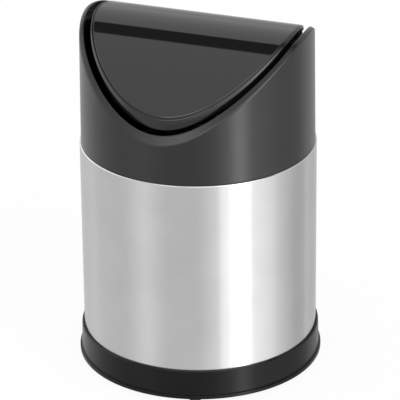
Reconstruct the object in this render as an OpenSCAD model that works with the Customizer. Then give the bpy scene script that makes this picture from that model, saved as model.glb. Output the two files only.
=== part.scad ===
// Countertop bin with a swing lid.
// A steel can stands in a plastic base ring on four rubber feet.  A loose bucket with a
// folding bail stands inside it.  A plastic hood drops into the top of the can, and a
// roof-shaped lid swings both ways on two pins between the hood's high sides.
// Millimetres.  +Z is up, the front is -Y, and Z = 0 is the surface that the feet stand on.

/* [Can] */
// Outside diameter of the steel can
can_d = 125; // [112:1:136]
// Height of the steel can by itself
shell_h = 118.4; // [100:0.2:150]
// Thickness of the sheet steel
steel_t = 0.6; // [0.4:0.1:0.8]
// Radius of the rolled bead round the can's top edge
bead_r = 0.6; // [0.5:0.05:0.8]

/* [Bottom pan] */
// Thickness of the pan's sheet steel
pan_t = 0.8; // [0.6:0.1:1.2]
// Height of the pan's upturned wall
pan_wall_h = 8; // [5:0.5:14]
// Radial gap between the pan and the can
pan_gap = 0.2; // [0.1:0.05:0.3]
// Height of the pressed platform in the middle of the pan
platform_h = 1.2; // [0.8:0.1:2.5]
// Diameter of the pressed platform
platform_d = 92; // [80:1:98]

/* [Base ring] */
// Height of the base ring
ring_h = 15.6; // [12:0.2:22]
// Wall thickness at the ring's top lip
ring_lip_t = 1.1; // [0.9:0.1:2]
// Radial gap between the lip and the can
ring_gap = 0.2; // [0.1:0.05:0.3]
// How much wider the ring is at its foot than at its lip
ring_draft = 0.4; // [0:0.1:1]
// How far the bottom flange stands out
flange_out = 1; // [0.6:0.1:2]
// Height of the bottom flange
flange_h = 2.1; // [1.2:0.1:3]
// Thickness of the ledge that carries the can
ledge_t = 3; // [2.4:0.1:4]
// Width of the ledge, inwards from the can's outside
ledge_w = 12; // [10:0.5:16]

/* [Rubber feet] */
// Diameter of a foot
foot_d = 7; // [5:0.5:8]
// Height that the feet lift the ring
foot_stand = 3; // [2:0.2:5]
// How far each foot's centre lies inside the can's outside
foot_inset = 4.5; // [4:0.5:6]
// Turn of the first foot from the front
foot_turn = 18; // [0:1:45]
// Diameter of the stem that a foot is pushed in by
foot_stem_d = 3.6; // [2.6:0.2:4]
// Radial clearance of the stem in the ledge
foot_stem_gap = 0.1; // [0.05:0.05:0.2]

/* [Bucket] */
// Wall thickness of the bucket
bucket_wall = 1.2; // [1:0.1:2]
// Width of the lip round the bucket's mouth
bucket_lip_w = 1.4; // [1:0.1:2]
// Thickness of that lip
bucket_lip_t = 1.8; // [1.2:0.1:3]
// Radial gap between the bucket's lip and the hood's spigot
bucket_gap = 3.5; // [1:0.1:5]
// How much narrower the bucket is at its foot
bucket_draft = 2.5; // [1:0.5:6]
// How far the bucket's mouth lies below the hood's seat
bucket_drop = 16; // [14:0.5:30]

/* [Bail] */
// Thickness of the bail's wire
wire_d = 2.4; // [2:0.2:3]
// How far the bail's pivots lie below the bucket's mouth
bail_drop = 5.6; // [5.2:0.2:9]
// Thickness of the wire's turned-out ends
bail_pin_d = 2; // [1.6:0.1:2.2]
// Radial clearance of those ends in their bosses
bail_clear = 0.06; // [0.03:0.01:0.1]
// Diameter of the bosses that hold the wire's ends
bail_boss_d = 6.4; // [5.6:0.2:8]
// Length of those bosses
bail_boss_l = 2.2; // [1.6:0.1:3]
// Diameter of the grip
grip_d = 5; // [4.4:0.2:5.4]
// Angle of the bail's arc that the grip covers
grip_angle = 46; // [30:1:70]

/* [Hood] */
// How far the hood's foot lies inside the can's outside
hood_inset = 0.7; // [0.65:0.05:1]
// How much narrower the hood is at its top
hood_draft = 0.7; // [0.3:0.1:1.5]
// Wall thickness of the hood
hood_wall = 2.6; // [2.2:0.1:3.2]
// Gap between the hood's seat and the can's bead
seat_gap = 0.05; // [0.03:0.01:0.2]
// Length of the spigot that drops into the can
spigot_l = 12; // [8:0.5:13]
// Wall thickness of the spigot
spigot_wall = 1.8; // [1.4:0.1:2.4]
// Radial gap between the spigot and the bead
spigot_gap = 0.25; // [0.2:0.05:0.4]
// Number of guide ribs round the spigot
rib_count = 12; // [6:1:18]

/* [Roof line] */
// Height of the roof's crown above the hood's seat
roof_h = 67.9; // [60:0.1:76]
// Height of the rim above the seat at the front and back
rim_front_h = 21.6; // [17:0.1:27]
// Radius of the rounded crown
crown_r = 40; // [34:0.5:46]
// Angle over which the crown turns to each side
crown_angle = 27.5; // [24:0.5:31]

/* [Lid] */
// Radial gap between the lid and the hood's rim
lid_gap = 3.1; // [2.6:0.1:4]
// Thickness of the lid's top panel
panel_t = 1.2; // [1:0.1:1.6]
// Width of the frame's rim that shows round the panel
frame_rim_w = 1.3; // [1:0.1:2]
// Seam between the panel and the frame
panel_seam = 0.3; // [0.1:0.05:0.5]
// Depth of the frame's rim at the lid's ends
rim_end_t = 1.9; // [1.8:0.1:2.6]
// Extra height of the frame's rim at the front and back
rim_front_t = 4.4; // [3.8:0.1:8]
// Thickness of the ledge under the panel
seat_t = 1.8; // [1.4:0.1:2.6]
// Width of that ledge
seat_w = 4.6; // [3.6:0.1:7]
// Thickness of the frame's spine and ribs
rib_t = 1.8; // [1.4:0.1:2.4]
// Depth of the ribs across the frame
rib_depth = 4.8; // [3.4:0.2:7]
// Depth at the lid's ends of the rib behind the frame's rim
end_rib_depth = 5; // [3.2:0.2:5.4]
// Distance of each cross rib from the middle
rib_x = 22; // [16:1:28]
// Distance of each screw from the ridge
screw_y = 24; // [20:1:28]

/* [Pivots] */
// Distance of the pivots below the roof's crown
pivot_drop = 7.9; // [7.4:0.1:11]
// Diameter of the pivot pins
pin_d = 4; // [3:0.2:5]
// Radial clearance of a pin in the hood
pin_clear = 0.06; // [0.03:0.01:0.1]
// Diameter of the bosses inside the hood
boss_d = 9; // [7.6:0.2:10]
// Gap between the lid's end and a boss
boss_gap = 0.8; // [0.5:0.1:1.2]
// Thickness of the hood left outside each socket
ear_skin = 1.4; // [1:0.1:1.8]
// Thickness of the lugs that hold the pins
lug_t = 3; // [2:0.2:4]
// Radius of the lugs' round ends
lug_r = 6; // [4.6:0.2:7]
// Distance of each lug's outer face from the lid's end
lug_inset = 3.9; // [3.2:0.1:6]

/* [Hidden] */

$fn = 180;

// Overlap that makes joined shapes one solid, and the overshoot of a cutting shape
eps = 0.01;
cut = 1;

// Heights from the table up
base_z = foot_stand;
ledge_z = base_z + ledge_t;
seam_z = ledge_z + shell_h;
floor_z = ledge_z + pan_t + platform_h;

// Can and base ring
can_r = can_d / 2;
can_in_r = can_r - steel_t;
bead_mid_r = can_r - bead_r;
bead_in_r = bead_mid_r - bead_r;
pan_r = can_in_r - pan_gap;
lip_in_r = can_r + ring_gap;
lip_out_r = lip_in_r + ring_lip_t;
foot_circle_r = can_r - foot_inset;
foot_count = 4;

// Hood
spigot_r = bead_in_r - spigot_gap;
spigot_in_r = spigot_r - spigot_wall;
hood_foot_r = can_r - hood_inset;
hood_top_r = hood_foot_r - hood_draft;
spigot_rib_w = 1.4;
spigot_rib_out = spigot_gap / 2;
spigot_lead = 1;
spigot_lead_in = 0.5;

// Roof line: a crown arc that runs into a longer flank arc on each side.
// Heights in these values are above the hood's seat.
crown_z = roof_h - crown_r;
roof_below = 2 * roof_h;

// Lid
lid_r = hood_top_r - hood_wall - lid_gap;
panel_r = lid_r - frame_rim_w - panel_seam;
seat_out_r = lid_r - frame_rim_w / 2;
seat_in_r = lid_r - frame_rim_w - seat_w;
pivot_z = seam_z + roof_h - pivot_drop;
spine_drop = 3;

// Pivot pins
pin_r = pin_d / 2;
lug_out_x = lid_r - lug_inset;
lug_in_x = lug_out_x - lug_t;
boss_x = lid_r + boss_gap;
pin_tip_x = hood_top_r - ear_skin;
pin_head_out = 1.2;
pin_head_r = pin_r + pin_head_out;
pin_head_l = 1.5;
pin_head_gap = 0.2;
socket_end_gap = 0.15;

// Screws under the lid
screw_r = 1.2;
screw_head_r = 2.4;
screw_head_h = 1.6;
screw_head_gap = 0.3;
screw_bite = 3;
screw_tip_gap = 0.6;
tab_r = 4.2;
deep_rib_y = screw_y + tab_r;
tab_t = 1.6;
post_r = 2.5;
post_l = 3;
post_gap = 0.15;
hole_gap = 0.2;

// Bucket and bail
bucket_lip_r = spigot_in_r - bucket_gap;
bucket_top_r = bucket_lip_r - bucket_lip_w;
bucket_foot_r = bucket_top_r - bucket_draft;
bucket_top_z = seam_z - bucket_drop;
bucket_h = bucket_top_z - floor_z;
bail_z = bucket_top_z - bail_drop;
wire_r = wire_d / 2;
bail_pin_r = bail_pin_d / 2;
wire_side_gap = 0.3;
bail_boss_x = bucket_top_r - bucket_wall - bail_boss_l;
bail_r = bail_boss_x - wire_side_gap - wire_r;
bail_tip_x = bucket_top_r - bucket_wall;
bail_hole_end = 0.2;
shelf_t = 1.5;
shelf_w = 7;
shelf_gap = 0.05;
shelf_angles = [50, 130, 230, 310];

// ---------------------------------------------------------------- roof line

// Radius of the arc that leaves a crown of radius r at the crown angle and passes
// through the point p
function flank_arc_r(r, p) =
    let (
        side = [sin(crown_angle), cos(crown_angle)],
        chord = p - [0, crown_z] - r * side
    )
    (chord * chord) / (-2 * (chord * side));

// Centre of that arc, for a crown of radius r and a flank of radius f
function flank_centre(r, f) = [0, crown_z] + (r - f) * [sin(crown_angle), cos(crown_angle)];

// The roof's own flank runs to the hood's rim at the front and back
flank_r = flank_arc_r(crown_r, [hood_foot_r - hood_draft / 2, rim_front_h]);

// Height of the roof at the distance y from the ridge, for a roof that lies t inside
function roof_height(y, t) =
    let (
        centre = flank_centre(crown_r, flank_r),
        inside = crown_r - t
    )
    y < inside * sin(crown_angle)
        ? crown_z + sqrt(inside * inside - y * y)
        : centre[1] + sqrt(pow(flank_r - t, 2) - pow(y - centre[0], 2));

// The frame's lower edge has a flank of its own, so the rim is deepest at the front
skirt_crown_r = crown_r - rim_end_t;
skirt_flank_r = flank_arc_r(skirt_crown_r, [lid_r, roof_height(lid_r, 0) - rim_front_t]);
end_rib_crown_r = crown_r - end_rib_depth;
end_rib_flank_r = flank_arc_r(end_rib_crown_r, [lid_r, roof_height(lid_r, 0) - rim_front_t]);

// Outline of the space under a roof, seen along X: two flank arcs that meet in a point,
// with the point cut back to the crown arc
module roof_outline(r, f) {
    turn = [r * sin(crown_angle), crown_z + r * cos(crown_angle)];
    centre = flank_centre(r, f);
    difference() {
        intersection() {
            translate(centre) circle(r = f);
            mirror([1, 0]) translate(centre) circle(r = f);
            translate([-can_d, -roof_below]) square([2 * can_d, 2 * roof_below]);
        }
        difference() {
            translate([-turn[0], turn[1]]) square([2 * turn[0], roof_h]);
            translate([0, crown_z]) circle(r = r);
        }
    }
}

// The space under a roof, as a solid along the whole width
module under_arcs(r, f) {
    translate([0, 0, seam_z])
        rotate([90, 0, 90])
            linear_extrude(height = 2 * can_d, center = true)
                roof_outline(r, f);
}

// The space under the roof when it lies t inside the outer one
module under_roof(t) {
    under_arcs(crown_r - t, flank_r - t);
}

// The layer between two depths under the roof
module roof_layer(from, to) {
    difference() {
        under_roof(from);
        under_roof(to);
    }
}

// An upright tube that stands on the hood's seat and reaches past the roof
module roof_tube(r_out, r_in) {
    translate([0, 0, seam_z])
        difference() {
            cylinder(h = roof_h + cut, r = r_out);
            translate([0, 0, -cut]) cylinder(h = roof_h + 3 * cut, r = r_in);
        }
}

// A cylinder along X, from x1 to x2, on the axis at height z
module rod_x(r, x1, x2, z) {
    translate([x1, 0, z]) rotate([0, 90, 0]) cylinder(h = x2 - x1, r = r);
}

// Its children on the right, and again on the left
module both_ends() {
    children();
    mirror([1, 0, 0]) children();
}

// ---------------------------------------------------------------- can

// Rolled steel tube with a bead round its top edge
module steel_shell() {
    color("silver")
        rotate_extrude() {
            translate([can_in_r, ledge_z]) square([steel_t, shell_h - bead_r]);
            translate([bead_mid_r, seam_z - bead_r]) circle(r = bead_r);
        }
}

// Pressed steel floor with an upturned wall and a raised platform
module bottom_pan() {
    platform_r = platform_d / 2;
    color("gainsboro")
        translate([0, 0, ledge_z])
            rotate_extrude()
                polygon([
                    [0, platform_h],
                    [platform_r - pan_t, platform_h],
                    [platform_r, 0],
                    [pan_r, 0],
                    [pan_r, pan_wall_h],
                    [pan_r - pan_t, pan_wall_h],
                    [pan_r - pan_t, pan_t],
                    [platform_r + pan_t, pan_t],
                    [platform_r, pan_t + platform_h],
                    [0, pan_t + platform_h]
                ]);
}

// Where a foot goes: its children are placed at foot number i, counted from the front
module at_foot(i) {
    rotate([0, 0, foot_turn + (i - 1) * 360 / foot_count])
        translate([0, -foot_circle_r, 0])
            children();
}

// Plastic ring that the can stands in, with a flange and a ledge
module base_ring() {
    color("#26272a")
        difference() {
            translate([0, 0, base_z])
                rotate_extrude()
                    polygon([
                        [can_r - ledge_w, 0],
                        [lip_out_r + ring_draft + flange_out, 0],
                        [lip_out_r + ring_draft + flange_out, flange_h],
                        [lip_out_r + ring_draft, flange_h],
                        [lip_out_r, ring_h],
                        [lip_in_r, ring_h],
                        [lip_in_r, ledge_t],
                        [can_r - ledge_w, ledge_t]
                    ]);
            for (i = [1 : foot_count])
                at_foot(i)
                    translate([0, 0, base_z - cut])
                        cylinder(h = ledge_t + 2 * cut, r = foot_stem_d / 2 + foot_stem_gap);
        }
}

// Rubber foot with a stem that plugs into the base ring
module rubber_foot(i) {
    color("#3a3b3d")
        at_foot(i) {
            cylinder(h = foot_stand, d = foot_d);
            cylinder(h = foot_stand + ledge_t, d = foot_stem_d);
        }
}

// ---------------------------------------------------------------- bucket

// The bucket's outside, or its inside when the wall is taken off
module bucket_body(wall) {
    translate([0, 0, floor_z + wall])
        cylinder(h = bucket_h - wall + (wall > 0 ? cut : 0),
                 r1 = bucket_foot_r - wall, r2 = bucket_top_r - wall);
}

// Loose plastic bucket with a lip, bail bosses and shelves that the bail lies on
module inner_bucket() {
    color("#4a4b4d")
        difference() {
            union() {
                difference() {
                    union() {
                        bucket_body(0);
                        translate([0, 0, bucket_top_z - bucket_lip_t])
                            cylinder(h = bucket_lip_t, r = bucket_lip_r);
                    }
                    bucket_body(bucket_wall);
                }
                intersection() {
                    bucket_body(0);
                    union() {
                        both_ends()
                            rod_x(bail_boss_d / 2, bail_boss_x, bucket_top_r, bail_z);
                        for (a = shelf_angles)
                            rotate([0, 0, a])
                                translate([bail_r, -shelf_w / 2, bail_z - wire_r - shelf_gap - shelf_t])
                                    cube([bucket_top_r - bail_r, shelf_w, shelf_t]);
                    }
                }
            }
            both_ends()
                rod_x(bail_pin_r + bail_clear, bail_boss_x - cut, bail_tip_x + bail_hole_end, bail_z);
        }
}

// Half ring of wire whose thinner ends turn out into the bucket's bosses
module bail_wire() {
    color("silver") {
        translate([0, 0, bail_z])
            rotate_extrude(angle = 180)
                translate([bail_r, 0]) circle(r = wire_r);
        both_ends()
            rod_x(bail_pin_r, bail_r - wire_r, bail_tip_x, bail_z);
    }
}

// Plastic sleeve round the middle of the bail
module bail_grip() {
    color("#2c2d30")
        translate([0, 0, bail_z])
            rotate([0, 0, 90 - grip_angle / 2])
                rotate_extrude(angle = grip_angle)
                    translate([bail_r, 0])
                        difference() {
                            circle(d = grip_d);
                            circle(r = wire_r);
                        }
}

// ---------------------------------------------------------------- hood

// Turned shape of the hood before it is cut to the roof line: a tapered wall, the
// shoulder that sits on the can's bead, and the spigot with its lead-in
module hood_turning() {
    top_z = seat_gap + roof_h + cut;
    translate([0, 0, seam_z])
        rotate_extrude()
            polygon([
                [spigot_in_r, -spigot_l],
                [spigot_r - spigot_lead_in, -spigot_l],
                [spigot_r, -spigot_l + spigot_lead],
                [spigot_r, seat_gap],
                [hood_foot_r, seat_gap],
                [hood_top_r, top_z],
                [hood_top_r - hood_wall, top_z],
                [hood_foot_r - hood_wall, seat_gap]
            ]);
}

// Narrow upright ribs that centre the spigot in the bead
module spigot_ribs() {
    for (i = [0 : rib_count - 1])
        rotate([0, 0, (i + 0.5) * 360 / rib_count])
            translate([spigot_r - spigot_wall / 2, -spigot_rib_w / 2, seam_z - spigot_l + spigot_lead])
                cube([spigot_wall / 2 + spigot_rib_out, spigot_rib_w, spigot_l - spigot_lead]);
}

// Hood cut to the roof line, with its spigot, guide ribs and two pivot bosses
module hood() {
    color("#2e2f32")
        difference() {
            union() {
                intersection() {
                    hood_turning();
                    under_roof(0);
                }
                spigot_ribs();
                both_ends()
                    rod_x(boss_d / 2, boss_x, pin_tip_x, pivot_z);
            }
            both_ends()
                rod_x(pin_r + pin_clear, boss_x - cut, pin_tip_x + socket_end_gap, pivot_z);
        }
}

// ---------------------------------------------------------------- lid

// Height of the flat end of a screw post under the panel
post_end_z = seam_z + roof_height(screw_y + post_r, panel_t) - post_l;

// Its children at each of the four screws
module at_screws() {
    for (x = [-rib_x, rib_x])
        for (y = [-screw_y, screw_y])
            translate([x, y, post_end_z])
                children();
}

// Glossy top sheet of the lid, with four screw posts under it
module lid_panel() {
    color("#3b3c3f")
        difference() {
            union() {
                intersection() {
                    roof_layer(0, panel_t);
                    translate([0, 0, seam_z]) cylinder(h = roof_h + cut, r = panel_r);
                }
                intersection() {
                    under_roof(panel_t / 2);
                    at_screws() cylinder(h = roof_h, r = post_r);
                }
            }
            at_screws()
                translate([0, 0, -cut]) cylinder(h = screw_bite + cut + screw_tip_gap, r = screw_r);
        }
}

// The space under the panel down to the lower edge of the rib behind the rim
module behind_rim() {
    difference() {
        under_roof(panel_t);
        under_arcs(end_rib_crown_r, end_rib_flank_r);
    }
}

// Plate of thickness t across the frame at x: deep between the tabs, shallow beyond them
module cross_rib(x, t) {
    intersection() {
        union() {
            roof_layer(panel_t, panel_t + seat_t);
            intersection() {
                roof_layer(panel_t, panel_t + rib_depth);
                translate([-can_d, -deep_rib_y, seam_z]) cube([2 * can_d, 2 * deep_rib_y, roof_h]);
            }
        }
        translate([x - t / 2, -seat_out_r, seam_z]) cube([t, 2 * seat_out_r, roof_h]);
        roof_tube(seat_out_r, 0);
    }
}

// Frame under the panel: rim, ledge, end rib, spine, cross ribs, screw tabs and lugs
module lid_frame() {
    color("#2b2c2f")
        difference() {
            union() {
                intersection() {
                    difference() {
                        under_roof(0);
                        under_arcs(skirt_crown_r, skirt_flank_r);
                    }
                    roof_tube(lid_r, lid_r - frame_rim_w);
                }
                intersection() {
                    behind_rim();
                    roof_layer(panel_t, panel_t + seat_t);
                    roof_tube(seat_out_r, seat_in_r);
                }
                intersection() {
                    behind_rim();
                    roof_tube(seat_out_r, seat_out_r - rib_t);
                }
                cross_rib(-rib_x, rib_t);
                cross_rib(rib_x, rib_t);
                intersection() {
                    under_roof(panel_t);
                    union() {
                        translate([-lug_in_x - eps, -rib_t / 2, pivot_z - spine_drop])
                            cube([2 * (lug_in_x + eps), rib_t, roof_h]);
                        both_ends() {
                            rod_x(lug_r, lug_in_x, lug_out_x, pivot_z);
                            translate([lug_in_x, -lug_r, pivot_z]) cube([lug_t, 2 * lug_r, roof_h]);
                        }
                    }
                }
                at_screws() translate([0, 0, -tab_t]) cylinder(h = tab_t, r = tab_r);
            }
            at_screws() {
                translate([0, 0, -tab_t - cut]) cylinder(h = tab_t + 2 * cut, r = screw_r + hole_gap);
                cylinder(h = roof_h, r = post_r + post_gap);
                translate([0, 0, -tab_t - rib_depth])
                    cylinder(h = rib_depth, r = screw_head_r + screw_head_gap);
            }
            both_ends() {
                rod_x(pin_r, lug_in_x - cut, lug_out_x + cut, pivot_z);
                rod_x(pin_head_r + pin_head_gap, lug_in_x - pin_head_l - pin_head_gap, lug_in_x, pivot_z);
            }
        }
}

// Steel pin with a head, held in a lug and turning in the hood: side is 1 or -1 along X
module pivot_pin(side) {
    color("lightgray")
        mirror([side < 0 ? 1 : 0, 0, 0]) {
            rod_x(pin_r, lug_in_x - eps, pin_tip_x, pivot_z);
            rod_x(pin_head_r, lug_in_x - pin_head_l, lug_in_x, pivot_z);
        }
}

// Four screws that hold the panel down on the frame
module lid_screws() {
    color("gray")
        at_screws() {
            translate([0, 0, -tab_t - eps]) cylinder(h = tab_t + eps + screw_bite, r = screw_r);
            translate([0, 0, -tab_t - screw_head_h]) cylinder(h = screw_head_h, r = screw_head_r);
        }
}

// ---------------------------------------------------------------- pieces

steel_shell();
bottom_pan();
base_ring();
rubber_foot(1);  // rubber_foot_1
rubber_foot(2);  // rubber_foot_2
rubber_foot(3);  // rubber_foot_3
rubber_foot(4);  // rubber_foot_4
inner_bucket();
bail_wire();
bail_grip();
hood();
lid_panel();
lid_frame();
pivot_pin(-1);  // left_pivot_pin
pivot_pin(1);  // right_pivot_pin
lid_screws();
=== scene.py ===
# %% [markdown]
# # A countertop bin with a swing lid
#
# The bin is a steel can in a black plastic base ring.  A plastic hood drops into the can,
# and a lid shaped like a rounded roof swings in it both ways.  The moving model comes
# from CAD and fixes every size.  Here the pieces that show get their rounded edges and
# their finish: satin steel, matt black plastic and a glossy black panel.

import math

import bmesh
import bpy
import numpy as np
from mathutils import Matrix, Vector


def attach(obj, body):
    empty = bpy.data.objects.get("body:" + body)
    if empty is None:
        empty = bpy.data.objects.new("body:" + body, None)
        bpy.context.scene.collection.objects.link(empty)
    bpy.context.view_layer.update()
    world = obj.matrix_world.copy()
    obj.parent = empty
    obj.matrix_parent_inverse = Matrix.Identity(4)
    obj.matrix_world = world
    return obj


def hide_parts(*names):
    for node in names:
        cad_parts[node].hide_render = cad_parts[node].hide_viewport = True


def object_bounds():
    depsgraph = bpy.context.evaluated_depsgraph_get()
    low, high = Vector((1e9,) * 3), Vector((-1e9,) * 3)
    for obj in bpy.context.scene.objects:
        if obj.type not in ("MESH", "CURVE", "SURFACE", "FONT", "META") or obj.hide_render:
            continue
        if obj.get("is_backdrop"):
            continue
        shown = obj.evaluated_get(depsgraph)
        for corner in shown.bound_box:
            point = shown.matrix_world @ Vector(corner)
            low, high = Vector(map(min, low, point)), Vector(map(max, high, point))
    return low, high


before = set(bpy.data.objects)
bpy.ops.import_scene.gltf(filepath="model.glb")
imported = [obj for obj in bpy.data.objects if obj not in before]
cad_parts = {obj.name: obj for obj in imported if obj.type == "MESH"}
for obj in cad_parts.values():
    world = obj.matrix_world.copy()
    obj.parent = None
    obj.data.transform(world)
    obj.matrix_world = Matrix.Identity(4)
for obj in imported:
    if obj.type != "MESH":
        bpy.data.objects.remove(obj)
scene = bpy.context.scene
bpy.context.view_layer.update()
MM = 0.001

# %% [markdown]
# ## The camera
#
# The bin is seen from 21 degrees to the right of its front and from 25 degrees above,
# through a long lens.  A long lens keeps the can's sides almost parallel, as a product
# picture does.  The camera's place is written from its three directions: back towards
# the camera, right, and up.  A small roll tilts the picture by two thirds of a degree.

# %% Camera
TURN = math.radians(21.0)
LIFT = math.radians(24.74)
ROLL = math.radians(0.64)
CAN_R = 62.5
RING_Z = 3.0
FAR = 26.11 * CAN_R
RAISED = 1.2377 * CAN_R
ASIDE = 0.0096 * CAN_R

back = np.array([math.sin(TURN) * math.cos(LIFT), -math.cos(TURN) * math.cos(LIFT), math.sin(LIFT)])
level = np.array([math.cos(TURN), math.sin(TURN), 0.0])
upward = np.cross(back, level)
eye = np.array([0.0, 0.0, RING_Z]) + ASIDE * level + RAISED * upward + FAR * back
picture_right = math.cos(ROLL) * level - math.sin(ROLL) * upward
picture_up = math.sin(ROLL) * level + math.cos(ROLL) * upward

camera = bpy.data.objects.new("camera", bpy.data.cameras.new("camera"))
scene.collection.objects.link(camera)
camera.data.lens = 270.0
camera.data.sensor_width = 36.0
camera.data.clip_end = 100.0
pose = np.eye(4)
pose[:3, 0], pose[:3, 1], pose[:3, 2], pose[:3, 3] = picture_right, picture_up, back, eye * MM
camera.matrix_world = Matrix(pose.tolist())
scene.camera = camera
print("camera is", round(float(np.linalg.norm(eye)) * MM, 2), "m away")

# %% [markdown]
# ## Shader maths as plain expressions
#
# A wire stands for one node socket.  Sums and products of wires add Math nodes, so a
# finish can be written as a formula.  Every other node comes from one method.

# %% The wire class
class Wire:
    """A socket in a node tree.  Arithmetic on it adds Math nodes to that tree."""

    def __init__(self, tree, socket=None):
        self.tree = tree
        self.socket = socket

    def node(self, kind, settings=None, sockets=None, out=0):
        """Adds a node: its settings first, then the values or wires of its sockets."""
        made = self.tree.nodes.new(kind)
        for key, value in (settings or {}).items():
            setattr(made, key, value)
        for key, value in (sockets or {}).items():
            if isinstance(value, Wire):
                self.tree.links.new(value.socket, made.inputs[key])
            else:
                made.inputs[key].default_value = value
        return Wire(self.tree, made.outputs[out] if len(made.outputs) else None)

    def math(self, operation, first, second=0.0):
        return self.node("ShaderNodeMath", {"operation": operation}, {0: first, 1: second})

    def __add__(self, other):
        return self.math("ADD", self, other)

    def __sub__(self, other):
        return self.math("SUBTRACT", self, other)

    def __rsub__(self, other):
        return self.math("SUBTRACT", other, self)

    def __mul__(self, other):
        return self.math("MULTIPLY", self, other)

    __radd__ = __add__
    __rmul__ = __mul__

    def axis(self, name):
        """One coordinate of a vector."""
        return self.node("ShaderNodeSeparateXYZ", None, {0: self}, name)

    def step(self, low, high, at_low=0.0, at_high=1.0, kind="SMOOTHSTEP"):
        """Goes from at_low to at_high while this value goes from low to high."""
        return self.node(
            "ShaderNodeMapRange",
            {"interpolation_type": kind},
            {"Value": self, "From Min": low, "From Max": high, "To Min": at_low, "To Max": at_high},
        )

    def band(self, low, high, soft):
        """1 between low and high and 0 outside, with soft edges."""
        return self.step(low - soft, low + soft) * self.step(high - soft, high + soft, 1.0, 0.0)


# %% [markdown]
# ## The studio
#
# Polished metal and glossy plastic show what stands round them, so the studio is most
# of their look.  It is painted into the world as a function of direction: pale walls,
# one tall lit panel to the right of the camera that fades to the side, and two large
# panels overhead with a dark gap between them.  The gap is what draws the dark bar
# across the lid.  Four patches of extra light brighten narrow edges.  The world lights
# everything else softly at the same time.

# %% World
WALL_LEVEL, OVERHEAD_LEVEL = 0.80, 0.85
WALLS_UP_TO, OVERHEAD_FROM = 8.0, 22.0
SOFTBOX_FROM, SOFTBOX_TO, FADED_AT = 20.0, 52.5, 126.0
GAP_FROM, GAP_TO, GAP_EDGE = 97.6, 112.2, 0.6


def wall_light(azimuth):
    """The walls' level: the tall lit panel with its fading sides, and what is behind."""
    left_behind = azimuth.step(-160.0, -119.0, -0.1, 0.06) * azimuth.band(-190.0, -119.0, 1.5)
    left_glow = azimuth.band(-66.0, -44.0, 16.0) * 0.26
    near_side = azimuth.step(-4.0, SOFTBOX_FROM, 0.0, 0.28) * azimuth.band(-10.0, SOFTBOX_FROM, 2.0)
    softbox = azimuth.band(SOFTBOX_FROM, SOFTBOX_TO, 2.0) * 0.75
    softbox_core = azimuth.band(34.0, 47.0, 4.0) * 2.5
    far_side = azimuth.step(SOFTBOX_TO, 108.0, 0.58, -0.17, "LINEAR")
    far_side = far_side * azimuth.band(SOFTBOX_TO, FADED_AT, 2.5)
    right_behind = azimuth.step(FADED_AT, 150.0, -0.02, -0.16) * azimuth.band(FADED_AT, 190.0, 3.0)
    right_glow = azimuth.band(55.0, 80.0, 5.0) * 0.13
    left = left_behind + left_glow
    right = near_side + softbox + softbox_core + far_side + right_behind + right_glow
    return WALL_LEVEL + left + right


def overhead_light(azimuth, height, over):
    """The level overhead: two large panels with a dark gap, and a lit side left and right."""
    front_panel = over.band(38.0, GAP_FROM, GAP_EDGE) * 0.15
    gap = over.band(GAP_FROM, GAP_TO, GAP_EDGE) * 0.79
    back_panel = over.band(GAP_TO, 200.0, GAP_EDGE) * 0.13
    right_side = azimuth.band(20.0, 54.0, 6.0) * height.step(45.0, 60.0, 1.4, 0.0)
    left_side = azimuth.band(-140.0, -90.0, 8.0) * height.step(35.0, 50.0, 0.8, 0.0)
    return OVERHEAD_LEVEL + front_panel - gap + back_panel + right_side + left_side


def edge_lamps(azimuth, height):
    """Four patches of extra light, each a stretch of azimuth and a stretch of height."""
    far_left = azimuth.band(-160.0, -66.0, 8.0) * height.band(2.0, 24.0, 4.0) * 1.1
    near_left = azimuth.band(-42.0, -16.0, 3.0) * height.band(18.0, 31.0, 3.0) * 2.8
    low_front = azimuth.band(-8.0, 50.0, 5.0) * height.band(-4.0, 16.0, 4.0) * 0.7
    high_front = azimuth.band(-14.0, 66.0, 8.0) * height.band(20.0, 48.0, 5.0) * 1.5
    return far_left + near_left + low_front + high_front


def studio_light(sky):
    """Light level by direction, with every angle in degrees.

    The azimuth is counted from the main view's side, positive to its right.  The
    overhead angle is counted from the front horizon over the top to the back.  Low down
    the walls' level is used and higher up the overhead level, with a soft change.
    """
    way = sky.node("ShaderNodeTexCoord", out="Generated")
    x, y, z = way.axis("X"), way.axis("Y"), way.axis("Z")
    to_camera = x * math.sin(TURN) - y * math.cos(TURN)
    to_right = x * math.cos(TURN) + y * math.sin(TURN)
    azimuth = sky.math("ARCTAN2", to_right, to_camera) * math.degrees(1)
    height = sky.math("ARCSINE", z) * math.degrees(1)
    over = sky.math("ARCTAN2", z, 0.0 - y) * math.degrees(1)
    mix = height.step(WALLS_UP_TO, OVERHEAD_FROM)
    low_down = wall_light(azimuth) * (1.0 - mix)
    high_up = overhead_light(azimuth, height, over) * mix
    return low_down + high_up + edge_lamps(azimuth, height)


world = bpy.data.worlds.new("studio")
scene.world = world
world.use_nodes = True
sky = Wire(world.node_tree)
seen = sky.node("ShaderNodeLightPath", out="Is Camera Ray")
level_of_light = studio_light(sky) * (1.0 - seen) + seen
background = world.node_tree.nodes["Background"]
world.node_tree.links.new(level_of_light.socket, background.inputs["Strength"])
background.inputs["Color"].default_value = (1.0, 1.0, 1.0, 1.0)
print("world nodes:", len(world.node_tree.nodes))

# %% [markdown]
# ## The floor
#
# The floor is a plain pale sheet.  It looks almost white to the camera, so the page
# stays white and only a faint shadow shows where the bin stands.  Reflected rays pass
# through it, so that the steel shows the studio and not a second white surface.

# %% Floor
FLOOR_HALF = 20.0
PAPER = 0.8
SHARE_OF_WHITE = 0.93


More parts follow.
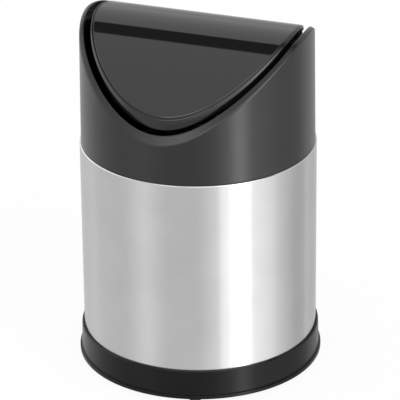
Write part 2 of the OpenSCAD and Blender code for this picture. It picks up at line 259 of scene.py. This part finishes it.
def floor_sheet():
    """A square sheet at the height of the feet, with its own two-part material."""
    mesh = bpy.data.meshes.new("floor")
    corners = np.array([[-1, -1, 0], [1, -1, 0], [1, 1, 0], [-1, 1, 0]]) * FLOOR_HALF
    mesh.from_pydata(corners.tolist(), [], [(0, 1, 2, 3)])
    made = bpy.data.objects.new("floor", mesh)
    scene.collection.objects.link(made)
    material = bpy.data.materials.new("floor_paper")
    material.use_nodes = True
    tree = material.node_tree
    tree.nodes.clear()
    start = Wire(tree)
    ray = start.node("ShaderNodeLightPath", out="Is Camera Ray")
    glossy = start.node("ShaderNodeLightPath", out="Is Glossy Ray")
    paper = start.node("ShaderNodeBsdfDiffuse", None, {"Color": (PAPER, PAPER, PAPER, 1.0)})
    page = start.node("ShaderNodeEmission", None, {"Color": (1.0, 1.0, 1.0, 1.0)})
    clear = start.node("ShaderNodeBsdfTransparent")
    shown = start.node("ShaderNodeMixShader", None, {0: ray * SHARE_OF_WHITE, 1: paper, 2: page})
    both = start.node("ShaderNodeMixShader", None, {0: glossy, 1: shown, 2: clear})
    start.node("ShaderNodeOutputMaterial", None, {"Surface": both})
    mesh.materials.append(material)
    return made


floor = floor_sheet()
floor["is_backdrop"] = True
print("floor is", 2 * FLOOR_HALF, "m wide")

# %% [markdown]
# ## Surfaces from grids of points
#
# Every new piece is worked out as a grid of points: one direction runs round the bin,
# the other runs along the piece's cross-section.  Neighbouring points are joined into
# four-sided faces.  The piece is closed, its doubled points are merged, and Blender
# turns the faces outwards.

# %% Grids and pieces
STEPS_ROUND = 288
STEPS_OF_CIRCLE = 40
CREASE = math.radians(32.0)
MERGE_WITHIN = 1e-6


def grid_faces(rows, columns, close_rows, close_columns):
    """Four corner numbers of each face of a grid whose points are numbered row by row."""
    r, c = np.meshgrid(
        np.arange(rows if close_rows else rows - 1),
        np.arange(columns if close_columns else columns - 1),
        indexing="ij",
    )
    r_next, c_next = (r + 1) % rows, (c + 1) % columns
    here, there = r * columns, r_next * columns
    return np.stack([here + c, here + c_next, there + c_next, there + c], -1).reshape(-1, 4)


def surface(points, close_rows=False, close_columns=False):
    """A grid of points (rows, columns, 3) as points and faces.

    A side that stays open in the row direction gets a flat end face.
    """
    rows, columns = points.shape[:2]
    faces = grid_faces(rows, columns, close_rows, close_columns).tolist()
    if close_columns and not close_rows:
        faces += [list(range(columns)), list(range((rows - 1) * columns, rows * columns))]
    return points.reshape(-1, 3), faces


def piece(name, parts, body, node, material):
    """Joins parts, each one points and faces in mm, into one closed mesh in metres.

    It rides on the body and takes the place of the CAD node.  Its one slot holds the given
    material, whose name Blender may number when it makes a material of the same name.
    """
    shape = bmesh.new()
    for points, faces in parts:
        spots = [shape.verts.new(p) for p in points * MM]
        for face in faces:
            shape.faces.new([spots[i] for i in face])
    bmesh.ops.remove_doubles(shape, verts=shape.verts, dist=MERGE_WITHIN)
    bmesh.ops.recalc_face_normals(shape, faces=shape.faces)
    mesh = bpy.data.meshes.new(name)
    shape.to_mesh(mesh)
    shape.free()
    mesh.shade_smooth()
    mesh.set_sharp_from_angle(angle=CREASE)
    mesh.materials.append(material)
    made = bpy.data.objects.new(name, mesh)
    scene.collection.objects.link(made)
    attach(made, body)
    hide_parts(node)
    print(name, "has", len(mesh.polygons), "faces")
    return made


# %% [markdown]
# ## Rounded cross-sections
#
# No moulded or rolled edge is sharp, and its small round is what catches the light as a
# thin line.  A cross-section is therefore written as corners, each with the distance at
# which the round begins.  The corner is swapped for a quadratic curve.  One more point
# beyond each end of the curve keeps the shading of the flat beside it flat.

# %% Rounding
ROUND_STEPS = 5
HOLD = 1.25
LARGEST_SHARE = 0.38
NEVER_ZERO = 1e-9


def rounded(corners, reach):
    """Rounds the corners of closed outlines.

    corners has the shape (corners, ..., 2 or 3) and reach one distance per corner.
    With A and B on the two sides of the corner C, at that distance from it, the curve
    is (1 - t)(1 - t) A + 2 t (1 - t) C + t t B for t from 0 to 1.  A round takes no
    more than the largest share of either side.
    """
    before, after = np.roll(corners, 1, 0) - corners, np.roll(corners, -1, 0) - corners
    long_before = np.linalg.norm(before, axis=-1, keepdims=True) + NEVER_ZERO
    long_after = np.linalg.norm(after, axis=-1, keepdims=True) + NEVER_ZERO
    reach = np.reshape(reach, (-1,) + (1,) * (corners.ndim - 1)) * np.ones_like(long_before)
    cut = np.minimum(reach, LARGEST_SHARE * np.minimum(long_before, long_after))
    start, end = corners + before / long_before * cut, corners + after / long_after * cut
    points = [corners + (start - corners) * HOLD]
    for t in np.linspace(0.0, 1.0, ROUND_STEPS):
        points.append((1 - t) ** 2 * start + 2 * t * (1 - t) * corners + t**2 * end)
    points.append(corners + (end - corners) * HOLD)
    return np.stack(points, 1).reshape((-1,) + corners.shape[1:])


def turned(outline):
    """Carries a closed outline of (radius, height) round the Z axis.

    x = r sin(a), y = -r cos(a), z = height, so the angle a counts from the front.
    """
    a = np.linspace(0.0, 2 * math.pi, STEPS_ROUND, endpoint=False)[:, None]
    r, z = outline[:, 0][None, :], outline[:, 1][None, :]
    points = np.stack([r * np.sin(a), -r * np.cos(a), z + 0 * a], -1)
    return surface(points, close_rows=True, close_columns=True)


def prism(outline, low, high, axis=2):
    """A closed bar with the given outline of (n, 2), from low to high along one axis.

    low and high may differ from point to point of the outline.
    """
    n = len(outline)
    ends = [np.insert(outline, axis, np.broadcast_to(v, n), axis=1) for v in (low, high)]
    return surface(np.stack(ends), close_columns=True)


def circle(radius, centre):
    """Points of a circle: centre + radius (cos, sin)."""
    a = np.linspace(0.0, 2 * math.pi, STEPS_OF_CIRCLE, endpoint=False)
    return np.stack([centre[0] + radius * np.cos(a), centre[1] + radius * np.sin(a)], -1)


def rectangle(low, high):
    """Corners of a rectangle, from its lowest corner round to its upper left one."""
    (left, bottom), (right, top) = low, high
    return np.array([[left, bottom], [right, bottom], [right, top], [left, top]])


# %% [markdown]
# ## Materials
#
# A finish is a shader whose fixed values are written on its own sockets and whose varying
# values are wires.  All patterns read object coordinates, so they stay on the piece.

# %% The finish helper
def finish(name, fixed, varying):
    """A material: fixed socket values, and a function that returns the varying wires."""
    material = bpy.data.materials.new(name)
    material.use_nodes = True
    tree = material.node_tree
    shader = tree.nodes["Principled BSDF"]
    for key, value in fixed.items():
        shader.inputs[key].default_value = value
    start = Wire(tree)
    place = start.node("ShaderNodeTexCoord", out="Object")
    for key, wire in varying(place).items():
        tree.links.new(wire.socket, shader.inputs[key])
    print(name, "has", len(tree.nodes), "nodes")
    return material


def noise(place, size, stretch=(1.0, 1.0, 1.0), detail=3.0):
    """Soft noise whose features are about size mm across, stretched along the axes."""
    scale = tuple(1.0 / (size * MM * s) for s in stretch)
    spread = place.node("ShaderNodeMapping", None, {"Vector": place, "Scale": scale})
    sockets = {"Vector": spread, "Scale": 1.0, "Detail": detail}
    return place.node("ShaderNodeTexNoise", None, sockets)


def blend_colour(share, low, high):
    """A colour between low and high."""
    return share.node(
        "ShaderNodeMix",
        {"data_type": "RGBA"},
        {0: share, 6: (*low, 1.0), 7: (*high, 1.0)},
        out=2,
    )


def bump(height, strength, depth):
    """Surface relief: depth in mm."""
    return height.node(
        "ShaderNodeBump", None, {"Height": height, "Strength": strength, "Distance": depth * MM}
    )


# %% [markdown]
# ## Satin steel
#
# The can is rolled stainless sheet.  Its polish runs round the can in very fine lines, so
# reflections smear up and down but stay crisp from left to right.  Anisotropy gives that
# smear, and a stretched noise adds the lines themselves.  A welded seam runs down the back.

# %% Steel finishes
WELD_HALF, WELD_EDGE = 0.7, 0.2
BEHIND_FROM, BEHIND_TO = 50.0, 55.0


def round_polish(place):
    """Fine level lines, slow patches, and the ground weld line at the back."""
    lines = noise(place, 0.22, (60.0, 60.0, 1.0))
    patches = noise(place, 30.0)
    weld = place.axis("X").band(-WELD_HALF * MM, WELD_HALF * MM, WELD_EDGE * MM)
    weld = weld * place.axis("Y").step(BEHIND_FROM * MM, BEHIND_TO * MM)
    return {
        "Base Color": blend_colour(
            patches.step(0.3, 0.7) * (1.0 - weld * 0.6), (0.555, 0.556, 0.56), (0.585, 0.586, 0.588)
        ),
        "Roughness": 0.15 + lines * 0.05 + patches * 0.03 + weld * 0.2,
        "Normal": bump(lines + weld * 1.5, 0.06, 0.01),
    }


def plain_metal(light, rough):
    """Cold-drawn or stamped steel with a faint grain."""

    def varying(place):
        grain = noise(place, 0.5)
        patches = noise(place, 6.0)
        tone = tuple(light * k for k in (0.93, 0.93, 0.935))
        return {
            "Base Color": blend_colour(patches, tone, (light, light, light * 1.01)),
            "Roughness": rough + grain * 0.12,
            "Normal": bump(grain, 0.08, 0.01),
        }

    return varying


satin_steel = finish(
    "satin_steel",
    {"Metallic": 1.0, "Anisotropic": 0.55, "Anisotropic Rotation": 0.25},
    round_polish,
)
pan_steel = finish("pan_steel", {"Metallic": 1.0}, plain_metal(0.55, 0.26))
wire_steel = finish("wire_steel", {"Metallic": 1.0}, plain_metal(0.62, 0.12))
pin_steel = finish("pin_steel", {"Metallic": 1.0}, plain_metal(0.56, 0.22))
screw_steel = finish("screw_steel", {"Metallic": 1.0}, plain_metal(0.5, 0.3))

# %% [markdown]
# ## Black plastics and rubber
#
# The hood, the lid's frame and the base ring are moulded in black plastics with a fine
# eroded grain.  The lid's top panel is polished.  The bucket is a softer, slightly waxy
# plastic.  All of them are very dark, so their light comes mostly from gloss.

# %% Plastic finishes
def moulded(dark, light, rough, grain_size, relief):
    """Grain of the mould, and slow patches where the plastic is a little glossier."""

    def varying(place):
        grain = noise(place, grain_size, detail=2.0)
        patches = noise(place, 25.0)
        return {
            "Base Color": blend_colour(patches, dark, light),
            "Roughness": rough * (0.78 + patches * 0.24 + grain * 0.2),
            "Normal": bump(grain, relief, 0.02),
        }

    return varying


hood_plastic = finish(
    "hood_plastic",
    {"Specular IOR Level": 0.56},
    moulded((0.0020, 0.0027, 0.0026), (0.0050, 0.0058, 0.0057), 0.25, 0.45, 0.05),
)
frame_plastic = finish(
    "frame_plastic",
    {"Specular IOR Level": 0.5},
    moulded((0.0030, 0.0036, 0.0036), (0.0060, 0.0066, 0.0066), 0.18, 0.45, 0.04),
)
panel_gloss = finish(
    "panel_gloss",
    {"Specular IOR Level": 0.68},
    moulded((0.0052, 0.0053, 0.0054), (0.0068, 0.0069, 0.0070), 0.04, 2.0, 0.01),
)
ring_plastic = finish(
    "ring_plastic",
    {"Specular IOR Level": 0.2},
    moulded((0.0014, 0.0015, 0.0016), (0.0032, 0.0033, 0.0035), 0.24, 0.6, 0.08),
)
bucket_plastic = finish(
    "bucket_plastic",
    {"Specular IOR Level": 0.5},
    moulded((0.045, 0.046, 0.048), (0.058, 0.059, 0.061), 0.38, 0.8, 0.08),
)
grip_plastic = finish(
    "grip_plastic",
    {"Specular IOR Level": 0.5},
    moulded((0.010, 0.010, 0.011), (0.016, 0.016, 0.017), 0.42, 0.5, 0.1),
)
foot_rubber = finish(
    "foot_rubber",
    {"Specular IOR Level": 0.35},
    moulded((0.020, 0.020, 0.021), (0.030, 0.030, 0.031), 0.62, 0.4, 0.2),
)

# %% [markdown]
# ## Pieces that keep their CAD shape
#
# Small pieces with plain shapes keep the CAD mesh.  They only get their finish.

# %% Finish the CAD nodes
FOOT_COUNT = 4
CAD_FINISHES = {
    "bottom_pan": pan_steel,
    "inner_bucket": bucket_plastic,
    "bail_wire": wire_steel,
    "bail_grip": grip_plastic,
    "left_pivot_pin": pin_steel,
    "right_pivot_pin": pin_steel,
    "lid_screws": screw_steel,
}
for number in range(1, FOOT_COUNT + 1):
    CAD_FINISHES[f"rubber_foot_{number}"] = foot_rubber
for node_name, material in CAD_FINISHES.items():
    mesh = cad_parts[node_name].data
    mesh.materials.clear()
    mesh.materials.append(material)
print("finished", len(CAD_FINISHES), "CAD nodes")

# %% [markdown]
# ## The steel can
#
# The can is a rolled tube.  Its top edge is curled inwards into a bead, which makes it
# safe to touch and stiff.  The cross-section is the wall with three quarters of a circle
# on top, carried once round.

# %% Can
LEDGE_Z = 6.0
SEAM_Z = 124.4
SHEET = 0.6
BEAD = 0.6
BELOW_BEAD = 0.05
BEAD_STEPS, WALL_STEPS = 25, 14

bead_angle = np.linspace(0.0, 1.5 * math.pi, BEAD_STEPS)
bead_turn = np.stack([np.cos(bead_angle), np.sin(bead_angle)], -1)
bead = [CAN_R - BEAD, SEAM_Z - BEAD] + BEAD * bead_turn
wall_heights = np.linspace(LEDGE_Z, SEAM_Z - BEAD - BELOW_BEAD, WALL_STEPS)
outer_wall = np.stack([np.full_like(wall_heights, CAN_R), wall_heights], -1)
inner_wall = np.stack([np.full_like(wall_heights, CAN_R - SHEET), wall_heights[::-1]], -1)
inner_wall[0, 1] = SEAM_Z - 2 * BEAD - BELOW_BEAD
can_outline = np.concatenate([outer_wall, bead, inner_wall])
piece("steel_can", [turned(can_outline)], "can", "steel_shell", satin_steel)

# %% [markdown]
# ## The base ring
#
# The ring holds the can between a thin lip and an inner ledge.  A flange at the foot
# spreads the load.  The lip's top edge and the flange's edges are rounded.

# %% Base ring
LIP_IN, LIP_OUT, RING_FOOT_R, FLANGE_R = 62.7, 63.8, 64.2, 65.2
RING_TOP, FLANGE_TOP, LEDGE_IN = 18.6, 5.1, 50.5

ring_corners = np.array(
    [
        [LEDGE_IN, RING_Z],
        [FLANGE_R, RING_Z],
        [FLANGE_R, FLANGE_TOP],
        [RING_FOOT_R, FLANGE_TOP],
        [LIP_OUT, RING_TOP],
        [LIP_IN, RING_TOP],
        [LIP_IN, LEDGE_Z],
        [LEDGE_IN, LEDGE_Z],
    ]
)
ring_outline = rounded(ring_corners, [0.4, 0.35, 0.6, 0.35, 0.45, 0.25, 0.0, 0.4])
piece("ring_moulding", [turned(ring_outline)], "can", "base_ring", ring_plastic)

# %% [markdown]
# ## The roof line
#
# The hood's rim and the lid share one roof.  Seen from the end it is a crown arc that
# runs smoothly into a longer, flatter arc on each side, and it is the same all along the
# ridge.  A thinner copy of it, a given depth further in, has the same centres and
# smaller radii, so every layer of the lid comes from one formula.

# %% Roof height
CROWN_R = 40.0
CROWN_ANGLE = math.radians(27.5)
ROOF_H = 67.9
RIM_FRONT_H = 21.6
HOOD_FOOT_R = 61.8
HOOD_TOP_R = 61.1
crown_centre = np.array([0.0, ROOF_H - CROWN_R])
crown_side = np.array([math.sin(CROWN_ANGLE), math.cos(CROWN_ANGLE)])


def flank_radius(crown, target):
    """Radius of the arc that leaves the crown at its side and passes through a point.

    With the chord c from the crown's side to the point, and the unit direction d from
    the crown's centre to its side, the radius is (c . c) / (-2 c . d).
    """
    chord = np.array(target) - crown_centre - crown * crown_side
    return float(chord @ chord / (-2.0 * (chord @ crown_side)))


FLANK_R = flank_radius(CROWN_R, [(HOOD_FOOT_R + HOOD_TOP_R) / 2, RIM_FRONT_H])


def two_arcs(y, crown, flank):
    """Height over the hood's seat of the crown arc near the ridge and the flank beyond it."""
    y = np.abs(y)
    across, up = ((crown - flank) * part for part in crown_side)
    near = crown_centre[1] + np.sqrt(np.maximum(crown**2 - y**2, 0.0))
    away = crown_centre[1] + up + np.sqrt(np.maximum(flank**2 - (y - across) ** 2, 0.0))
    return np.where(y < crown * crown_side[0], near, away)


def roof(y, depth=0.0):
    """Height above the table of the layer that lies a given depth inside the roof."""
    return SEAM_Z + two_arcs(y, CROWN_R - depth, FLANK_R - depth)


print("flank radius is", round(FLANK_R, 2), "mm, ridge at", round(float(roof(0.0)), 2), "mm")

# %% [markdown]
# ## The hood
#
# The hood is a thin tapered wall with a spigot below it, all in one moulding.  Its
# cross-section changes round the bin only because the roof cuts it off at another
# height, so the corners at the rim depend on the angle and the rest stay fixed.  Where
# the wall meets the roof is found by going back and forth between the two a few times.
# The rim's face slopes outwards a little, and its edges are well rounded.

# %% Hood
HOOD_WALL, RIM_FALL = 2.6, 1.0
SEAT = 0.05
SPIGOT_L, SPIGOT_R, SPIGOT_IN = 12.0, 61.05, 59.25
LEAD_IN, LEAD = 0.5, 1.0
TAPER_PAST_ROOF = 1.0
TAPER = (HOOD_FOOT_R - HOOD_TOP_R) / (ROOF_H + TAPER_PAST_ROOF)
STEPS_OF_HOOD = 384
MEETINGS = 6

PIVOT_Z = 184.4
BOSS_R, BOSS_X, PIN_HOLE_R, PIN_TIP_X = 4.5, 56.2, 2.06, 59.7
PAST_PIN = 0.1

GUIDE_COUNT, GUIDE_HALF = 12, 0.7
GUIDE_IN, GUIDE_OUT = 60.3, SPIGOT_R + 0.12
GUIDE_LOW, GUIDE_HIGH = -11.0, -0.2

around = np.linspace(0.0, 2 * math.pi, STEPS_OF_HOOD, endpoint=False)


def wall_radius(height, inside):
    """The tapered wall: its foot radius less the taper, and less what lies inside it."""
    return HOOD_FOOT_R - TAPER * (height - SEAT) - inside


def rim_point(inside, fall=0.0):
    """Radius and height over the seat where the wall meets the roof, by repetition.

    fall lowers the point, so that the rim's face slopes outwards.
    """
    height = np.full_like(around, ROOF_H)
    for _ in range(MEETINGS):
        height = roof(wall_radius(height, inside) * np.cos(around)) - SEAM_Z
    return np.stack([wall_radius(height, inside), height - fall], -1)


def level_corner(radius, height):
    """The same corner at every angle."""
    return np.stack([np.full_like(around, radius), np.full_like(around, height)], -1)


hood_corners = np.stack(
    [
        level_corner(SPIGOT_IN, -SPIGOT_L),
        level_corner(SPIGOT_R - LEAD_IN, -SPIGOT_L),
        level_corner(SPIGOT_R, -SPIGOT_L + LEAD),
        level_corner(SPIGOT_R, SEAT),
        level_corner(HOOD_FOOT_R, SEAT),
        rim_point(0.0, RIM_FALL),
        rim_point(HOOD_WALL),
        level_corner(HOOD_FOOT_R - HOOD_WALL, SEAT),
    ]
)
hood_outline = rounded(hood_corners, [0.3, 0.2, 0.2, 0.0, 0.25, 0.8, 0.9, 0.2])


def wrapped(outline):
    """Places outlines of (points, angles, radius and height) round the bin."""
    r, z = outline[..., 0].T, outline[..., 1].T + SEAM_Z
    turn = around[:, None]
    return np.stack([r * np.sin(turn), -r * np.cos(turn), z], -1)


def pivot_boss(side):
    """A round boss with a socket for the pin: side is 1 or -1 along X."""
    hole, ring = (circle(radius, (0.0, PIVOT_Z)) for radius in (PIN_HOLE_R, BOSS_R))
    in_wall, face = side * (PIN_TIP_X + PAST_PIN), side * BOSS_X
    rows = [(hole, in_wall), (hole, face), (ring, face), (ring, in_wall)]
    tube = np.stack([np.insert(outline, 0, x, axis=1) for outline, x in rows])
    return surface(tube, close_rows=True, close_columns=True)


def guide_rib(number):
    """One of the upright ribs that centre the spigot in the can."""
    turn = 2 * math.pi * (number + 0.5) / GUIDE_COUNT
    spin = np.array([[math.cos(turn), math.sin(turn)], [-math.sin(turn), math.cos(turn)]])
    outline = rectangle((GUIDE_IN, -GUIDE_HALF), (GUIDE_OUT, GUIDE_HALF)) @ spin
    return prism(outline, SEAM_Z + GUIDE_LOW, SEAM_Z + GUIDE_HIGH)


hood_wall = surface(wrapped(hood_outline), close_rows=True, close_columns=True)
bosses = [pivot_boss(side) for side in (-1, 1)]
guide_ribs = [guide_rib(number) for number in range(GUIDE_COUNT)]
hood_parts = [hood_wall] + bosses + guide_ribs
piece("hood_moulding", hood_parts, "hood", "hood", hood_plastic)

# %% [markdown]
# ## The lid's top panel
#
# The panel is a thin sheet that follows the roof and is cut to a circle as seen from
# above.  It is laid out in rings round its middle.  The rings go out over the top, round
# the edge and back in underneath, and both middles close in a point.

# %% Lid panel
PANEL_R, PANEL_T = 53.8, 1.2
EDGE_BAND, TOP_RINGS = 1.2, 46
POST_R, POST_L, SCREW_X, SCREW_Y = 2.5, 3.0, 22.0, 24.0
POST_END_Z = float(roof(SCREW_Y + POST_R, PANEL_T)) - POST_L
PER_CORNER = ROUND_STEPS + 2

distances = np.linspace(0.0, PANEL_R - EDGE_BAND, TOP_RINGS)
top_rings = np.stack([distances, np.zeros(TOP_RINGS)], -1)
panel_section = rounded(rectangle((0.0, 0.0), (PANEL_R, PANEL_T)), [0.0, 0.45, 0.2, 0.0])
edge_rings = panel_section[PER_CORNER : 3 * PER_CORNER]
panel_rings = np.concatenate([top_rings, edge_rings, top_rings[::-1] + [0.0, PANEL_T]])


def on_roof(rings):
    """Rings of (distance from the middle, depth under the roof) as a closed surface.

    x = d sin(a), y = -d cos(a), z = roof(y, depth).
    """
    d, depth = rings[:, 0][None, :], rings[:, 1][None, :]
    turn = around[:, None]
    y = -d * np.cos(turn)
    return np.stack([d * np.sin(turn), y, roof(y, depth) + 0 * turn], -1)


def at_screws(shape):
    """One copy of a shape at each of the four screws."""
    return [shape(x, y) for x in (-SCREW_X, SCREW_X) for y in (-SCREW_Y, SCREW_Y)]


def screw_post(x, y):
    """A round post from the sheet's middle layer down to its flat end."""
    ring = circle(POST_R, (x, y))
    return prism(ring, POST_END_Z, roof(ring[:, 1], PANEL_T / 2))


sheet = surface(on_roof(panel_rings), close_rows=True)
panel_parts = [sheet] + at_screws(screw_post)
piece("top_panel", panel_parts, "lid", "lid_panel", panel_gloss)

# %% [markdown]
# ## The lid's frame
#
# The frame is one moulding: a rim round the panel, a ledge and a rib behind the rim, a
# spine along the ridge, two cross ribs, four screw tabs and two lugs for the pins.  The
# rim's lower edge follows an arc of its own, so that it is deepest at the front, where it
# shows as a crescent below the panel.

# %% Lid frame
LID_R, RIM_W = 55.4, 1.3
RIM_END_T, RIM_FRONT_T, BEVEL = 1.9, 4.4, 0.75
SEAT_OUT, SEAT_IN, SEAT_T = 54.75, 49.5, 1.8
RIB_T, RIB_DEPTH, END_RIB_DEPTH = 1.8, 4.8, 5.0
LUG_IN, LUG_OUT, LUG_R = 48.5, 51.5, 6.0
HEAD_SPACE_X, HEAD_SPACE_R = 46.8, 3.4
TAB_R, TAB_T = 4.2, 1.6
APART, ROOT = 0.02, 0.5
POST_CLEAR, BAR_SHORT = 0.2, 0.5
SPINE_DROP, INTO_LUG, SPLIT = 3.0, 0.1, 0.001
BAR_STEPS, LUG_STEPS, LUG_TOP_STEPS = 28, 28, 13

RIM_FOOT = [LID_R, float(roof(LID_R)) - SEAM_Z - RIM_FRONT_T]


def ring_on(distance, height_of):
    """A ring at a distance from the middle, at the height that a function of y gives."""
    y = -distance * np.cos(around)
    return np.stack([distance * np.sin(around), y, height_of(y)], -1)


def edge_below(end_depth):
    """Lower edge of a rim that has this depth at the ends and meets the front's depth."""
    crown = CROWN_R - end_depth
    return lambda y: SEAM_Z + two_arcs(y, crown, flank_radius(crown, RIM_FOOT))


skirt_edge, end_rib_edge = edge_below(RIM_END_T), edge_below(END_RIB_DEPTH)


def closed_ring(corners, reach):
    """A ring of rounded cross-section from its corner lines."""
    lines = np.swapaxes(rounded(np.stack(corners), reach), 0, 1)
    return surface(lines, close_rows=True, close_columns=True)


rim = closed_ring(
    [
        ring_on(LID_R - BEVEL, roof),
        ring_on(LID_R, lambda y: roof(y, BEVEL)),
        ring_on(LID_R, skirt_edge),
        ring_on(LID_R - RIM_W, skirt_edge),
        ring_on(LID_R - RIM_W, roof),
    ],
    [0.4, 0.4, 0.3, 0.3, 0.2],
)
ledge = closed_ring(
    [
        ring_on(SEAT_OUT, lambda y: roof(y, PANEL_T)),
        ring_on(SEAT_OUT, lambda y: np.maximum(roof(y, PANEL_T + SEAT_T), end_rib_edge(y))),
        ring_on(SEAT_IN, lambda y: roof(y, PANEL_T + SEAT_T)),
        ring_on(SEAT_IN, lambda y: roof(y, PANEL_T)),
    ],
    [0.0, 0.2, 0.3, 0.1],
)
end_rib = closed_ring(
    [
        ring_on(SEAT_OUT - APART, lambda y: roof(y, PANEL_T + ROOT)),
        ring_on(SEAT_OUT - APART, end_rib_edge),
        ring_on(SEAT_OUT - RIB_T, end_rib_edge),
        ring_on(SEAT_OUT - RIB_T, lambda y: roof(y, PANEL_T + ROOT)),
    ],
    [0.0, 0.3, 0.3, 0.0],
)


def roof_bar(x, from_y, to_y, top, bottom):
    """A plate across the frame between two depths under the roof: a rectangle along y."""
    y = np.linspace(from_y, to_y, BAR_STEPS)
    corners = rectangle((-RIB_T / 2, top), (RIB_T / 2, bottom))
    lines = [np.stack([np.full_like(y, x + dx), y, roof(y, depth)], -1) for dx, depth in corners]
    return surface(np.stack(lines, 1), close_columns=True)


rib_end = math.sqrt(SEAT_OUT**2 - SCREW_X**2) - BAR_SHORT
tab_side = POST_R + POST_CLEAR
frame_parts = [rim, ledge, end_rib]
for x in (-SCREW_X, SCREW_X):
    for low, high, depth in (
        (-rib_end, -SCREW_Y - tab_side, SEAT_T),
        (-SCREW_Y + tab_side, SCREW_Y - tab_side, RIB_DEPTH),
        (SCREW_Y + tab_side, rib_end, SEAT_T),
        (-SCREW_Y - TAB_R, -SCREW_Y - tab_side, RIB_DEPTH),
        (SCREW_Y + tab_side, SCREW_Y + TAB_R, RIB_DEPTH),
    ):
        frame_parts.append(roof_bar(x, low, high, PANEL_T, PANEL_T + depth))


def spine(from_x, to_x, low):
    """A stretch of the spine along the ridge, up to the panel's underside."""
    outline = rectangle((-RIB_T / 2, low), (RIB_T / 2, 0.0))
    outline[2:, 1] = roof(outline[2:, 0], PANEL_T)
    return prism(outline, from_x, to_x, axis=0)


def lug(side):
    """A plate with a round lower end about the pin, up to the panel's underside."""
    a = np.linspace(math.pi, 2 * math.pi, LUG_STEPS)
    lower = np.stack([LUG_R * np.cos(a), PIVOT_Z + LUG_R * np.sin(a)], -1)
    y = np.linspace(LUG_R, -LUG_R, LUG_TOP_STEPS)
    outline = np.concatenate([lower, np.stack([y, roof(y, PANEL_T)], -1)])
    return prism(outline, side * LUG_IN, side * LUG_OUT, axis=0)


def screw_tab(x, y):
    """The disc that the screw's head pulls against the post."""
    return prism(circle(TAB_R, (x, y)), POST_END_Z - TAB_T, POST_END_Z)


frame_parts += [
    spine(-HEAD_SPACE_X, HEAD_SPACE_X, PIVOT_Z - SPINE_DROP),
    spine(-LUG_IN - INTO_LUG, -HEAD_SPACE_X - SPLIT, PIVOT_Z + HEAD_SPACE_R),
    spine(HEAD_SPACE_X + SPLIT, LUG_IN + INTO_LUG, PIVOT_Z + HEAD_SPACE_R),
    lug(-1),
    lug(1),
] + at_screws(screw_tab)
piece("frame_moulding", frame_parts, "lid", "lid_frame", frame_plastic)

# %% [markdown]
# ## Last measurements
#
# The looks must not change the part's size, so the box round all the shown pieces is
# printed in mm.  The last line sets the standard view transform.

# %% Sizes and finish
low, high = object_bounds()
print("dressed box in mm:", [round((h - l) / MM, 1) for l, h in zip(low, high)])
bpy.context.scene.view_settings.view_transform = "Standard"
